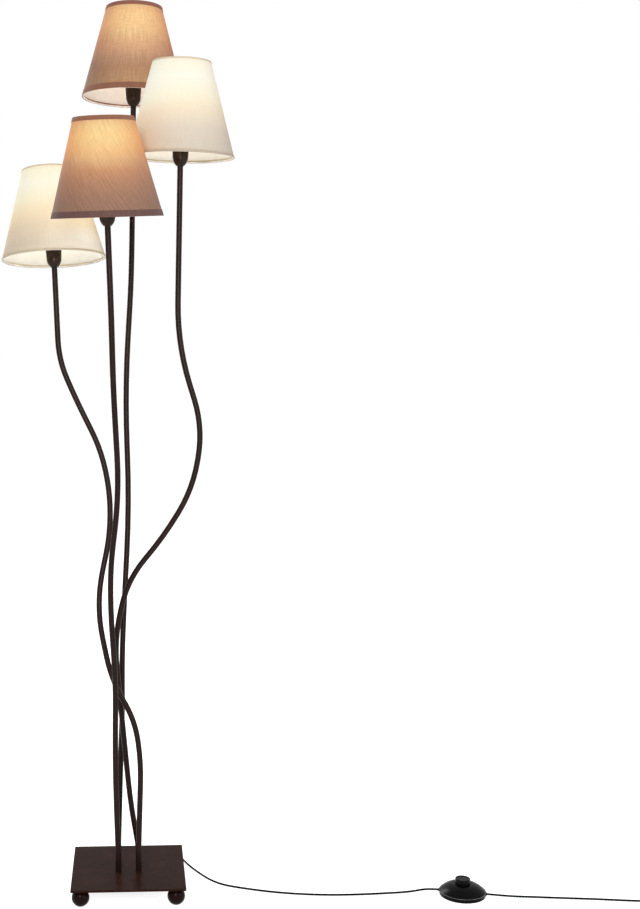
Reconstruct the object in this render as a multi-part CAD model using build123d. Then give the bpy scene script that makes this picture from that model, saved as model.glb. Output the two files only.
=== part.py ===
"""Tree floor lamp: four bent tubes rise from a square plate on ball feet, each to a small shade.

Millimetres. +Z is up and the floor is z = 0. The origin lies on the floor under the middle of the
lamp's bounding box, so the plate's own centre is a little off it. The cord leaves the plate's
back, passes a round foot switch on the floor and ends in a coil with a flat two-pin plug.
"""

from build123d import *
import math
import os

os.makedirs("parts", exist_ok=True)

# ---------------------------------------------------------------- driving dimensions

# Where the plate's centre lies from the origin.
base_x = 17.2
base_y = 5.3

# Base plate and its ball feet
plate_side = 200.0
plate_thickness = 4.0
plate_corner_radius = 1.5
plate_edge_radius = 0.6
foot_diameter = 31.0
foot_height = 30.0
foot_inset = 17.0
stud_diameter = 6.0
stud_length = 14.0
stud_bore_spare = 2.0

# Rods, and the nipples and nuts that hold them down
rod_diameter = 10.0
rod_wall = 1.0
rod_spacing = 36.0
rod_foot_rise = 30.0
rod_bend_share = 0.48
nipple_bore = 5.6
nipple_in_rod = 12.0
nipple_below_plate = 9.0
washer_diameter = 15.0
washer_thickness = 1.6
nut_across_flats = 13.0
nut_height = 5.0

# Inner two-core leads, one up each rod
lead_diameter = 5.0
lead_below_nipple = 3.0

# Cover under the plate, its screws, the terminal block and the cord's grip
cover_length = 96.0
cover_width = 80.0
cover_depth = 21.0
cover_wall = 2.0
cover_corner_radius = 8.0
cover_screw_x = 38.0
cover_screw_y = 30.0
cover_boss_diameter = 10.0
cover_screw_diameter = 4.0
cover_screw_head_diameter = 7.6
cover_screw_head_height = 2.4
cover_screw_in_plate = 2.6
terminal_length = 30.0
terminal_width = 18.0
terminal_height = 14.0
terminal_x = 36.0
terminal_y = 6.0
terminal_ways = 3
terminal_screw_diameter = 3.6
grip_x = 32.0
grip_height = 20.0
grip_body_diameter = 9.0
grip_flange_diameter = 13.0
grip_flange_thickness = 2.0
grip_nose_length = 20.0
grip_nose_diameter = 6.4

# Lampholders and their cups, measured along the light's own axis from the cup's foot
cup_diameter = 29.0
cup_waist_diameter = 26.4
cup_foot_diameter = 13.0
cup_height = 36.0
cup_waist_height = 14.0
cup_bulge_out = 0.72
cup_bulge_up = 0.46
cup_wall = 1.0
rod_in_holder = 14.0
locknut_across_flats = 12.0
locknut_height = 4.0
holder_body_diameter = 24.0
holder_foot_diameter = 18.0
holder_taper_end = 14.0
holder_flange_height = 2.0
holder_thread_diameter = 27.0
holder_thread_length = 16.0
holder_socket_diameter = 14.6
holder_socket_depth = 26.0
holder_entry_depth = 3.0
contact_length = 10.0
contact_width = 4.0
contact_thickness = 0.6
contact_lift = 1.2

# Bulbs
cap_diameter = 14.0
cap_height = 22.0
cap_tip_diameter = 6.0
cap_tip_height = 2.0
glass_diameter = 35.0
glass_height = 74.0
glass_widest_height = 30.0
glass_tip_radius = 4.0
glass_wall = 0.8

# Shades
shade_bottom_diameter = 184.0
shade_top_diameter = 99.0
shade_height = 159.0
shade_rise = 14.0
shade_wall = 0.9
hem_thickness = 0.5
hem_bottom_width = 9.0
hem_top_width = 7.0
frame_wire_diameter = 2.6
frame_plate_diameter = 42.0
frame_plate_thickness = 1.2
frame_arm_count = 3
frame_arm_elbow = 25.0
frame_elbow_radius = 6.0
ring_nut_diameter = 36.0
ring_nut_height = 7.0
ring_nut_grooves = 12
ring_nut_groove_width = 2.4
ring_nut_groove_depth = 1.0

# Foot switch
switch_x = 590.5
switch_y = -66.0
switch_turn = -16.0
switch_diameter = 81.0
switch_rim_height = 7.2
switch_shoulder_drop = 0.9
switch_wall = 2.0
switch_top = 20.0
switch_bulge = 1.7
switch_floor_gap = 0.4
switch_base_thickness = 2.4
switch_cord_height = 4.5
switch_collar_diameter = 6.4
switch_collar_length = 1.5
switch_screw_radius = 30.0
switch_screw_diameter = 3.0
switch_screw_head_diameter = 5.6
switch_screw_head_height = 1.2
switch_boss_diameter = 7.0
button_diameter = 26.4
button_top = 29.5
button_travel = 3.0
button_wall = 1.7
button_flange_width = 2.3
button_flange_thickness = 1.5
button_rim_width = 3.4
button_dish_depth = 0.8
button_edge_radius = 1.0
stem_diameter = 6.0
stem_spare = 0.6
guide_diameter = 10.0
guide_height = 7.6
spring_diameter = 16.0
spring_wire = 1.0
spring_turns = 5
block_length = 24.0
block_width = 12.0
block_height = 6.5
block_offset = 20.0
plunger_diameter = 4.0

# Cord, its coil and its plug
cord_diameter = 3.6
cord_bend_share = 0.45
coil_outer_radius = 28.0
coil_turns_per_layer = 4
coil_turn_gap = 0.5
coil_start_x = 925.0
coil_start_y = -116.0
coil_heading = -7.5
plug_width = 35.0
plug_thickness = 13.7
plug_front_length = 17.0
plug_taper_length = 17.0
plug_neck_diameter = 8.0
plug_corner_radius = 5.0
pin_diameter = 4.0
pin_length = 19.0
pin_root_diameter = 3.4
pin_spacing = 19.0
pin_in_body = 8.0
tail_step = 14.0
tail_slant = 2.8
cord_approach = 20.0

# Clearances
turning_fit = 0.05
thread_fit = 0.03
hole_fit = 0.2
moving_gap = 0.3
seat_gap = 0.1

# ---------------------------------------------------------------- chosen routes

# Each light: the side of its hole in the plate, the corners of its rod from the bottom up, and
# the foot of its lampholder's cup. Plan places are from the plate's centre, heights from the floor.
lights = {
    "front": (
        (-1, -1),
        [(-23, -18, 223), (-21, -19, 382), (-29, -26, 500), (-29, -36, 584),
         (-13, -54, 717), (-22, -84, 902), (-24, -106, 1016)],
        (-29, -119, 1163),
    ),
    "right": (
        (1, 1),
        [(4, 10, 149), (-24, 6, 448), (1, 1, 557), (64, -4, 633),
         (115, -9, 718), (133, -14, 825), (88, -18, 970)],
        (93, -24, 1272),
    ),
    "back": (
        (-1, 1),
        [(-13, 25, 236), (-10, 26, 307), (-10, 25, 414), (-6, 30, 503),
         (4, 50, 686), (-3, 72, 884), (9, 94, 1082), (11, 104, 1174)],
        (14, 109, 1394),
    ),
    "left": (
        (1, -1),
        [(23, -12, 229), (13, -6, 303), (-29, -5, 379), (-56, 2, 512), (-30, 20, 635),
         (-30, 30, 709), (-46, 38, 784), (-90, 46, 873), (-119.5, 51, 942)],
        (-127, 70, 1106),
    ),
}

# Cord on the floor, by plan places from the plate's centre: first round the back right foot and
# out to the switch, then from the switch towards the coil.
cord_rest = cord_diameter / 2 + seat_gap / 2
supply_bends = [
    (grip_x, 79, grip_height), (35, 100, 9.5), (46, 121, cord_rest), (65, 134, cord_rest),
    (86, 131, cord_rest), (100, 115, cord_rest), (107, 94, cord_rest), (116, 71, cord_rest),
    (130, 43, cord_rest), (147, 13, cord_rest), (170, -11, cord_rest), (205, -27, cord_rest),
    (250, -44, cord_rest), (300, -56, cord_rest), (352, -62.5, cord_rest),
    (405, -63, cord_rest), (458, -59.5, cord_rest), (500, -55.5, cord_rest),
]
plug_bends = [
    (680, -83.5, cord_rest), (722, -88.5, cord_rest), (770, -95, cord_rest),
    (820, -101, cord_rest), (868, -109, cord_rest),
]

# ---------------------------------------------------------------- values that follow

base_centre = Vector(base_x, base_y, 0)
plate_bottom = foot_height
plate_top = plate_bottom + plate_thickness
rod_bore = rod_diameter - 2 * rod_wall
holder_bottom = cup_wall + locknut_height
holder_shoulder = cup_height + holder_flange_height
holder_top = holder_shoulder + holder_thread_length
socket_floor = holder_top - holder_socket_depth
contact_top = socket_floor + contact_thickness + contact_lift
bulb_foot = contact_top + seat_gap
cap_top = bulb_foot + cap_tip_height + cap_height
shade_top = shade_rise + shade_height
frame_seat = holder_shoulder + frame_plate_thickness

# ---------------------------------------------------------------- helpers


def save(node, *shapes):
    """Write one node: a single solid, or a group of separate solids."""
    solids = [solid for shape in shapes for solid in shape.solids()]
    shape = solids[0] if len(solids) == 1 else Compound(children=solids)
    export_step(shape, os.path.join("parts", node + ".step"))


def rod_between(radius, low, high, x=0.0, y=0.0):
    """Upright cylinder from one height to another."""
    upright = Cylinder(radius, high - low, align=(Align.CENTER, Align.CENTER, Align.MIN))
    return Pos(x, y, low) * upright


def tube_between(outer, inner, low, high, x=0.0, y=0.0):
    """Upright tube, given by its two radii."""
    return rod_between(outer, low, high, x, y) - rod_between(inner, low, high, x, y)


def hexagon_nut(across_flats, bore, low, high):
    """Hexagon nut with a plain bore."""
    nut = extrude(RegularPolygon(across_flats / 2, 6, major_radius=False), high - low)
    return Pos(0, 0, low) * nut - rod_between(bore / 2, low, high)


def turned(*edges):
    """Solid of revolution about Z from a closed outline of (radius, height) edges."""
    return revolve(Plane.XZ * make_face(edges), Axis.Z)


def unit(vector):
    """Vector of length one in the same direction."""
    return vector * (1 / vector.length)


def bend_radii(points, share):
    """Radius of each corner's arc, as large as the share of its shorter run allows."""
    radii = []
    for before, corner, after in zip(points, points[1:], points[2:]):
        run_in = corner - before
        run_out = after - corner
        half_turn = math.radians(run_in.get_angle(run_out)) / 2
        radii.append(share * min(run_in.length, run_out.length) / math.tan(half_turn))
    return radii


def swept_tube(path, diameter, bore=0.0):
    """Round tube or solid wire along a path."""
    section = Circle(diameter / 2)
    if bore:
        section -= Circle(bore / 2)
    return sweep(Plane(origin=path @ 0, z_dir=path % 0) * section, path)


def report_tube(name, path, solid, diameter, radii):
    """Print a cord's length, its bend radii, and its volume against section times length."""
    ideal = math.pi * (diameter / 2) ** 2 * path.length
    print(name, "length", round(path.length, 1), "volume share", round(solid.volume / ideal, 4))
    print("  bend radii", [round(radius, 1) for radius in radii])


def on_floor_from_base(points):
    """Turn places from the plate's centre into places in the lamp's frame."""
    return [base_centre + Vector(*point) for point in points]


def square_places(half_pitch):
    """The four corners of a square about the plate's centre."""
    sides = [(-1, -1), (1, -1), (-1, 1), (1, 1)]
    return [(base_x + sx * half_pitch, base_y + sy * half_pitch) for sx, sy in sides]


# ---------------------------------------------------------------- base


def base_plate():
    """Square steel plate with four rod holes and two blind tapped holes for the cover."""
    plate = Box(plate_side, plate_side, plate_thickness,
                align=(Align.CENTER, Align.CENTER, Align.MIN))
    plate = fillet(plate.edges().filter_by(Axis.Z), plate_corner_radius)
    plate = fillet(plate.faces().sort_by(Axis.Z)[-1].edges(), plate_edge_radius)
    plate = Pos(base_x, base_y, plate_bottom) * plate
    for x, y in square_places(rod_spacing / 2):
        plate -= rod_between(nipple_diameter / 2 + hole_fit, plate_bottom, plate_top, x, y)
    for x, y in cover_screw_places():
        blind = plate_bottom + cover_screw_in_plate + hole_fit
        plate -= rod_between(cover_screw_diameter / 2 + turning_fit, plate_bottom, blind, x, y)
    return plate


def ball_foot():
    """Ball with a flat to stand on, a flat under the plate and a blind bore for its stud."""
    ball = Pos(0, 0, foot_height / 2) * Sphere(foot_diameter / 2)
    ball &= rod_between(foot_diameter, 0, foot_height)
    bore_floor = foot_height - stud_length - stud_bore_spare
    return ball - rod_between(stud_diameter / 2 + turning_fit, bore_floor, foot_height)


def foot_stud():
    """Threaded stud welded under the plate."""
    return rod_between(stud_diameter / 2, plate_bottom - stud_length, plate_bottom)


def cover_screw_places():
    """The cover's two screws, at opposite corners."""
    return [(base_x + side * cover_screw_x, base_y - side * cover_screw_y) for side in (-1, 1)]


def junction_cover():
    """Shallow moulded box against the plate's underside, with two screw bosses."""
    bottom = plate_bottom - cover_depth
    outer = extrude(RectangleRounded(cover_length, cover_width, cover_corner_radius), cover_depth)
    inner = extrude(
        RectangleRounded(cover_length - 2 * cover_wall, cover_width - 2 * cover_wall,
                         cover_corner_radius - cover_wall),
        cover_depth - cover_wall,
    )
    cover = Pos(base_x, base_y, bottom) * (outer - Pos(0, 0, cover_wall) * inner)
    for x, y in cover_screw_places():
        cover += rod_between(cover_boss_diameter / 2, bottom, plate_bottom, x, y)
        cover -= rod_between(cover_screw_diameter / 2 + turning_fit, bottom, plate_bottom, x, y)
        head_space = bottom + cover_screw_head_height + hole_fit
        cover -= rod_between(cover_screw_head_diameter / 2 + hole_fit, bottom, head_space, x, y)
    hole = Cylinder(grip_body_diameter / 2 + turning_fit, 3 * cover_wall, rotation=(90, 0, 0))
    wall_y = base_y + cover_width / 2 - cover_wall / 2
    return cover - Pos(base_x + grip_x, wall_y, grip_height) * hole


def cover_screw(x, y):
    """Pan-head screw up through the cover into the plate."""
    low = plate_bottom - cover_depth + hole_fit
    shank_end = plate_bottom + cover_screw_in_plate
    head = rod_between(cover_screw_head_diameter / 2, low, low + cover_screw_head_height, x, y)
    return head + rod_between(cover_screw_diameter / 2, low, shank_end, x, y)


def terminal_block():
    """Row of screw terminals fixed under the plate beside the rods' nuts."""
    block = Box(terminal_width, terminal_length, terminal_height,
                align=(Align.CENTER, Align.CENTER, Align.MAX))
    block = Pos(base_x + terminal_x, base_y + terminal_y, plate_bottom) * block
    pitch = terminal_length / terminal_ways
    low = plate_bottom - terminal_height
    for way in range(terminal_ways):
        y = base_y + terminal_y + (way - (terminal_ways - 1) / 2) * pitch
        block -= rod_between(terminal_screw_diameter / 2, low, low + terminal_height / 2,
                             base_x + terminal_x, y)
    return block


def cord_grip():
    """Moulded strain relief through the cover's back wall, with the cord's tail inside it."""
    wall_out = cover_width / 2
    wall_in = wall_out - cover_wall
    tail_start = terminal_y + terminal_length / 2 + seat_gap
    nose_start = wall_out + grip_flange_thickness
    nose_end = nose_start + grip_nose_length
    profile = Polyline(
        (0, tail_start),
        (cord_diameter / 2, tail_start),
        (cord_diameter / 2, wall_in - grip_flange_thickness),
        (grip_flange_diameter / 2, wall_in - grip_flange_thickness),
        (grip_flange_diameter / 2, wall_in),
        (grip_body_diameter / 2, wall_in),
        (grip_body_diameter / 2, wall_out),
        (grip_flange_diameter / 2, wall_out),
        (grip_flange_diameter / 2, nose_start),
        (grip_body_diameter / 2, nose_start),
        (grip_nose_diameter / 2, nose_end),
        (0, nose_end),
        close=True,
    )
    grip = turned(profile)
    return Pos(base_x + grip_x, base_y, grip_height) * Rot(-90, 0, 0) * grip


# ---------------------------------------------------------------- rods

nipple_diameter = rod_bore - 2 * thread_fit


def light_plane(corners, seat):
    """Plane at the cup's foot, square to the rod's last run."""
    origin = base_centre + Vector(*seat)
    axis = unit(origin - (base_centre + Vector(*corners[-1])))
    return Plane(origin=origin, x_dir=Vector(axis.Z, 0, -axis.X), z_dir=axis)


def rod_route(side, corners, plane):
    """Route of a rod from the plate's top to its end inside the lampholder."""
    foot = base_centre + Vector(side[0] * rod_spacing / 2, side[1] * rod_spacing / 2, plate_top)
    rise = foot + Vector(0, 0, rod_foot_rise)
    end = plane.origin + plane.z_dir * rod_in_holder
    return [foot, rise] + on_floor_from_base(corners) + [end]


def rod_solid(route):
    """Bent tube, standing on the plate."""
    path = FilletPolyline(*route, radius=bend_radii(route, rod_bend_share))
    return swept_tube(path, rod_diameter, rod_bore)


def lead_solid(route, plane):
    """Two-core lead through nipple and rod into the lampholder's foot."""
    low = Vector(route[0].X, route[0].Y, plate_bottom - nipple_below_plate - lead_below_nipple)
    high = plane.origin + plane.z_dir * (rod_in_holder + holder_entry_depth)
    longer = [low] + route[1:-1] + [high]
    path = FilletPolyline(*longer, radius=bend_radii(route, rod_bend_share))
    return swept_tube(path, lead_diameter)


def rod_nipple():
    """Threaded tube screwed into the rod's foot and down through the plate."""
    return tube_between(nipple_diameter / 2, nipple_bore / 2,
                        plate_bottom - nipple_below_plate, plate_top + nipple_in_rod)


def rod_washer():
    """Flat washer under the plate."""
    return tube_between(washer_diameter / 2, nipple_diameter / 2 + hole_fit,
                        plate_bottom - washer_thickness, plate_bottom)


def rod_nut():
    """Hexagon nut that pulls the rod down on the plate."""
    top = plate_bottom - washer_thickness
    return hexagon_nut(nut_across_flats, nipple_diameter + 2 * thread_fit, top - nut_height, top)


# ---------------------------------------------------------------- lights, each about its own axis


def holder_cup():
    """Bell-shaped metal cup over the lampholder, with the rod through its foot."""
    foot = cup_foot_diameter / 2
    waist = cup_waist_diameter / 2
    rim = cup_diameter / 2
    hole = rod_diameter / 2 + turning_fit
    low_bulge = (foot + cup_bulge_out * (waist - foot), cup_bulge_up * cup_waist_height)
    inner_bulge = (low_bulge[0] - cup_wall, low_bulge[1] + cup_wall / 2)
    return turned(
        Polyline((hole, cup_wall), (hole, 0), (foot, 0)),
        ThreePointArc((foot, 0), low_bulge, (waist, cup_waist_height)),
        Polyline((waist, cup_waist_height), (rim, cup_height), (rim - cup_wall, cup_height),
                 (waist - cup_wall, cup_waist_height)),
        ThreePointArc((waist - cup_wall, cup_waist_height), inner_bulge, (foot + cup_wall, cup_wall)),
        Line((foot + cup_wall, cup_wall), (hole, cup_wall)),
    )


def cup_locknut():
    """Nut inside the cup that holds it on the rod's threaded end."""
    return hexagon_nut(locknut_across_flats, rod_diameter + 2 * thread_fit,
                       cup_wall, cup_wall + locknut_height)


def lampholder():
    """Insulating screw lampholder with a shoulder, a threaded sleeve and its socket."""
    taper = Cone(holder_foot_diameter / 2, holder_body_diameter / 2,
                 holder_taper_end - holder_bottom, align=(Align.CENTER, Align.CENTER, Align.MIN))
    body = Pos(0, 0, holder_bottom) * taper
    body += rod_between(holder_body_diameter / 2, holder_taper_end, cup_height)
    body += rod_between(cup_diameter / 2, cup_height, holder_shoulder)
    body += rod_between(holder_thread_diameter / 2, holder_shoulder, holder_top)
    entry = rod_in_holder + holder_entry_depth
    body -= rod_between(rod_diameter / 2 + thread_fit, holder_bottom, rod_in_holder + seat_gap)
    body -= rod_between(lead_diameter / 2 + hole_fit, rod_in_holder, entry + seat_gap)
    body -= rod_between(holder_socket_diameter / 2, socket_floor, holder_top)
    return body


def holder_contact():
    """Sprung centre contact on the socket's floor: a strip with a raised middle."""
    strip = Box(contact_length, contact_width, contact_thickness,
                align=(Align.CENTER, Align.CENTER, Align.MIN))
    crown = rod_between(contact_width / 2, socket_floor, contact_top)
    return Pos(0, 0, socket_floor) * strip + crown


def bulb_cap():
    """Metal screw cap with its insulated tip."""
    shell_low = bulb_foot + cap_tip_height
    tip = Pos(0, 0, bulb_foot) * Cone(cap_tip_diameter / 2, cap_diameter / 2, cap_tip_height,
                                      align=(Align.CENTER, Align.CENTER, Align.MIN))
    return tip + rod_between(cap_diameter / 2, shell_low, cap_top)


def candle_outline(inset):
    """Half outline of the candle glass from neck to tip, moved inwards by the inset."""
    wide = glass_diameter / 2 - inset
    tip_radius = glass_tip_radius - inset
    middle = cap_top + glass_widest_height
    tip_centre = cap_top + glass_height - glass_tip_radius
    rise = tip_centre - middle
    flank = (wide ** 2 + rise ** 2 - tip_radius ** 2) / (2 * (wide - tip_radius))
    reach = flank / (flank - tip_radius)
    join = (wide - flank + (flank - wide) * reach, middle + rise * reach)
    return [
        TangentArc((wide, middle), (cap_diameter / 2 - inset, cap_top), tangent=(0, -1)),
        TangentArc((wide, middle), join, tangent=(0, 1)),
        TangentArc((0, tip_centre + tip_radius), join, tangent=(1, 0)),
    ]


def bulb_glass():
    """Candle-shaped glass envelope standing on the cap."""
    tip = cap_top + glass_height
    neck = cap_diameter / 2
    return turned(
        *candle_outline(0),
        *candle_outline(glass_wall),
        Line((0, tip), (0, tip - glass_wall)),
        Line((neck, cap_top), (neck - glass_wall, cap_top)),
    )


def shade_radius(height):
    """Outer radius of the shade's cloth at a height on the light's axis."""
    share = (height - shade_rise) / shade_height
    return (shade_bottom_diameter + share * (shade_top_diameter - shade_bottom_diameter)) / 2


def shade_cloth():
    """Conical shade, open at both ends, with a hem band round each edge."""
    low_hem = shade_rise + hem_bottom_width
    high_hem = shade_top - hem_top_width
    return turned(Polyline(
        (shade_radius(shade_rise) - shade_wall, shade_rise),
        (shade_radius(shade_rise) + hem_thickness, shade_rise),
        (shade_radius(low_hem) + hem_thickness, low_hem),
        (shade_radius(low_hem), low_hem),
        (shade_radius(high_hem), high_hem),
        (shade_radius(high_hem) + hem_thickness, high_hem),
        (shade_radius(shade_top) + hem_thickness, shade_top),
        (shade_radius(shade_top) - shade_wall, shade_top),
        close=True,
    ))


def wire_ring(height):
    """Round wire hoop that lies inside the cloth at one height."""
    slope = (shade_bottom_diameter - shade_top_diameter) / 2 / shade_height
    reach = (frame_wire_diameter / 2 + seat_gap) * math.hypot(1, slope)
    radius = shade_radius(height) - shade_wall * math.hypot(1, slope) - reach
    return Pos(0, 0, height) * Torus(radius, frame_wire_diameter / 2), radius


def shade_frame():
    """Top hoop carried by bent arms on the ring that the lampholder clamps, and a loose hoop."""
    wire = frame_wire_diameter / 2
    top_height = shade_top - wire
    top_hoop, top_radius = wire_ring(top_height)
    bottom_hoop, _ = wire_ring(shade_rise + wire)
    carrier = tube_between(frame_plate_diameter / 2, holder_thread_diameter / 2 + hole_fit,
                           holder_shoulder, frame_seat)
    arm_height = holder_shoulder + wire
    start = Vector(frame_plate_diameter / 2 - wire, 0, arm_height)
    elbow = Vector(frame_arm_elbow, 0, arm_height)
    end = Vector(top_radius, 0, top_height)
    arm = swept_tube(FilletPolyline(start, elbow, end, radius=frame_elbow_radius),
                     frame_wire_diameter)
    frame = carrier + top_hoop
    for turn in range(frame_arm_count):
        frame += Rot(0, 0, 180 + turn * 360 / frame_arm_count) * arm
    return frame, bottom_hoop


def shade_ring_nut():
    """Grooved ring nut that clamps the shade's carrier on the lampholder's shoulder."""
    top = frame_seat + ring_nut_height
    nut = tube_between(ring_nut_diameter / 2, holder_thread_diameter / 2 + thread_fit,
                       frame_seat, top)
    groove = Box(2 * ring_nut_groove_depth, ring_nut_groove_width, 2 * ring_nut_height)
    for turn in range(ring_nut_grooves):
        angle = (turn + 0.5) * 360 / ring_nut_grooves
        nut -= Rot(0, 0, angle) * Pos(ring_nut_diameter / 2, 0, top) * groove
    return nut


# ---------------------------------------------------------------- foot switch, about its own axis


def switch_base():
    """Floor plate of the switch, with the tube that guides the button's stem."""
    inner = switch_diameter / 2 - switch_wall
    base = rod_between(inner - moving_gap, 0, switch_base_thickness)
    base += rod_between(guide_diameter / 2, 0, switch_base_thickness + guide_height)
    stem_hole = stem_diameter / 2 + turning_fit
    base -= rod_between(stem_hole, switch_base_thickness, switch_base_thickness + guide_height)
    for x, y in switch_screw_places():
        base -= rod_between(switch_screw_diameter / 2 + turning_fit, 0, switch_base_thickness, x, y)
        base -= rod_between(switch_screw_head_diameter / 2 + hole_fit, 0,
                            switch_screw_head_height + hole_fit, x, y)
    return base


def switch_screw_places():
    """Two screws, across the line of the cord."""
    return [(0, side * switch_screw_radius) for side in (-1, 1)]


def dome_points(inset):
    """Shoulder, middle and top of the housing's dome, moved inwards by the inset."""
    shoulder = Vector(switch_diameter / 2 - switch_shoulder_drop,
                      switch_rim_height + switch_shoulder_drop)
    top = Vector(button_hole / 2 + 2 * switch_wall, switch_top)
    middle = (shoulder + top) * 0.5 + Vector(switch_bulge / 2, switch_bulge)
    down = Vector(-inset / 4, -inset)
    return [point + down for point in (shoulder, middle, top)]


def dome_solid(radius, low, inset):
    """Solid of revolution under the dome, moved inwards by the inset."""
    shoulder, middle, top = [(point.X, point.Y) for point in dome_points(inset)]
    foot = (radius, shoulder[1] - switch_shoulder_drop)
    return turned(
        Polyline((0, top[1]), (0, low), (radius, low), foot, shoulder),
        ThreePointArc(shoulder, middle, top),
        Line(top, (0, top[1])),
    )


def switch_housing():
    """Domed cover with a hole for the button, screw bosses and a collar for each cord."""
    outer_radius = switch_diameter / 2
    dome = dome_solid(outer_radius, switch_floor_gap, 0)
    housing = dome - dome_solid(outer_radius - switch_wall, switch_floor_gap, switch_wall)
    housing -= rod_between(button_hole / 2, switch_top / 2, switch_top + switch_wall)
    for x, y in switch_screw_places():
        boss = rod_between(switch_boss_diameter / 2, switch_base_thickness, switch_top, x, y)
        housing += boss & dome
        housing -= rod_between(switch_screw_diameter / 2 + turning_fit, switch_base_thickness,
                               switch_rim_height, x, y)
    collar = Cylinder(switch_collar_diameter / 2, switch_wall / 2 + switch_collar_length,
                      rotation=(0, 90, 0), align=(Align.CENTER, Align.CENTER, Align.MIN))
    for turn in (0, 180):
        start = Pos(outer_radius - switch_wall / 2, 0, switch_cord_height)
        housing += Rot(0, 0, turn) * start * collar
    return housing


def switch_screw(x, y):
    """Screw up through the switch's base into the housing's boss."""
    low = hole_fit
    head = rod_between(switch_screw_head_diameter / 2, low, low + switch_screw_head_height, x, y)
    return head + rod_between(switch_screw_diameter / 2, low, switch_rim_height - seat_gap, x, y)


button_hole = button_diameter + 2 * moving_gap


def switch_button():
    """Hollow push button with a raised rim, a stop flange and a guided stem."""
    radius = button_diameter / 2
    stem = stem_diameter / 2
    cavity = radius - button_wall
    ceiling = button_top - button_dish_depth - button_wall
    flange_top = switch_top - switch_wall - moving_gap
    flange_low = flange_top - button_flange_thickness
    stem_low = switch_base_thickness + button_travel + stem_spare
    dish = radius - button_rim_width
    edge = button_edge_radius
    return turned(
        Polyline((0, stem_low), (stem, stem_low), (stem, ceiling), (cavity, ceiling),
                 (cavity, flange_low), (radius + button_flange_width, flange_low),
                 (radius + button_flange_width, flange_top), (radius, flange_top),
                 (radius, button_top - edge)),
        TangentArc((radius, button_top - edge), (radius - edge, button_top), tangent=(0, 1)),
        Polyline((radius - edge, button_top), (dish + button_dish_depth, button_top),
                 (dish, button_top - button_dish_depth), (0, button_top - button_dish_depth),
                 (0, stem_low)),
    )


def climbing_half_turn(start, heading, radius, climb, side):
    """Two arcs that make a half turn and rise, level at both ends and with no kink between.

    The heading is a level unit vector, and the side is 1 for a turn to the left, -1 to the right.
    """
    across = Vector(-heading.Y, heading.X, 0) * (side * radius)
    reach = math.hypot(radius, climb / 2)
    middle = start + across + heading * reach + Vector(0, 0, climb / 2)
    end = start + across * 2 + Vector(0, 0, climb)
    first = TangentArc(start, middle, tangent=heading)
    second = TangentArc(middle, end, tangent=first % 1)
    return [first, second], end


def button_spring():
    """Coil spring between the switch's floor and the button's ceiling."""
    low = switch_base_thickness + seat_gap + spring_wire / 2
    ceiling = button_top - button_dish_depth - button_wall
    high = ceiling - seat_gap - spring_wire / 2
    radius = (spring_diameter - spring_wire) / 2
    climb = (high - low) / (2 * spring_turns)
    point = Vector(radius, 0, low)
    heading = Vector(0, 1, 0)
    arcs = []
    for half_turn in range(2 * spring_turns):
        pair, point = climbing_half_turn(point, heading, radius, climb, 1)
        heading = heading * -1
        arcs += pair
    return swept_tube(Wire([arc.edge() for arc in arcs]), spring_wire)


def switch_block():
    """Contact block on the switch's floor, with the plunger that the button's flange reaches."""
    block = Box(block_length, block_width, block_height,
                align=(Align.CENTER, Align.CENTER, Align.MIN))
    block = Pos(0, block_offset, switch_base_thickness) * block
    flange_low = switch_top - switch_wall - moving_gap - button_flange_thickness
    plunger_top = flange_low - button_travel - moving_gap
    plunger_y = block_offset - (block_width - plunger_diameter) / 2
    plunger = rod_between(plunger_diameter / 2, switch_base_thickness, plunger_top, 0, plunger_y)
    return block + plunger


# ---------------------------------------------------------------- cord, coil and plug


def cord_run(name, points):
    """Free stretch of the cord through the chosen points."""
    radii = bend_radii(points, cord_bend_share)
    path = FilletPolyline(*points, radius=radii)
    solid = swept_tube(path, cord_diameter)
    report_tube(name, path, solid, cord_diameter, radii)
    return solid


def level_half_turn(edges, point, heading, radius):
    """Add a level half turn to the right, and give the new end and heading."""
    end = point + Vector(heading.Y, -heading.X, 0) * (2 * radius)
    arc = TangentArc(point, end, tangent=heading)
    return edges + [arc], end, heading * -1


def coil_path(start, heading):
    """Spiral in on the floor, climb one layer in a half turn, then spiral out on top.

    It turns to the right all the way and leaves a quarter turn past its own start.
    """
    pitch = cord_diameter + coil_turn_gap
    step = pitch / 2
    halves = 2 * coil_turns_per_layer
    point = start + heading * cord_diameter
    edges = [Line(start, point)]
    for half in range(halves):
        radius = coil_outer_radius - half * step
        edges, point, heading = level_half_turn(edges, point, heading, radius)
    inner = coil_outer_radius - halves * step
    climb, point = climbing_half_turn(point, heading, inner, pitch, -1)
    edges += climb
    heading = heading * -1
    for half in range(halves - 1, 0, -1):
        radius = coil_outer_radius - half * step
        edges, point, heading = level_half_turn(edges, point, heading, radius)
    across = Vector(heading.Y, -heading.X, 0)
    quarter_end = point + (heading + across) * coil_outer_radius
    edges.append(TangentArc(point, quarter_end, tangent=heading))
    edges.append(Line(quarter_end, quarter_end + across * cord_diameter))
    return Wire([edge.edge() for edge in edges]), quarter_end + across * cord_diameter, across


def least_self_gap(path):
    """Least gap between two turns of the coil, measured on points along its centre line."""
    count = 3 * int(path.length)
    spacing = path.length / count
    points = [path @ (index / count) for index in range(count + 1)]
    skip = int(2 * math.pi * coil_outer_radius / 4 / spacing)
    least = path.length
    for index, point in enumerate(points[::3]):
        for other in points[3 * index + skip::2]:
            apart = other - point
            if max(abs(apart.X), abs(apart.Y)) < 2 * cord_diameter:
                least = min(least, apart.length)
    return least - cord_diameter


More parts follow.
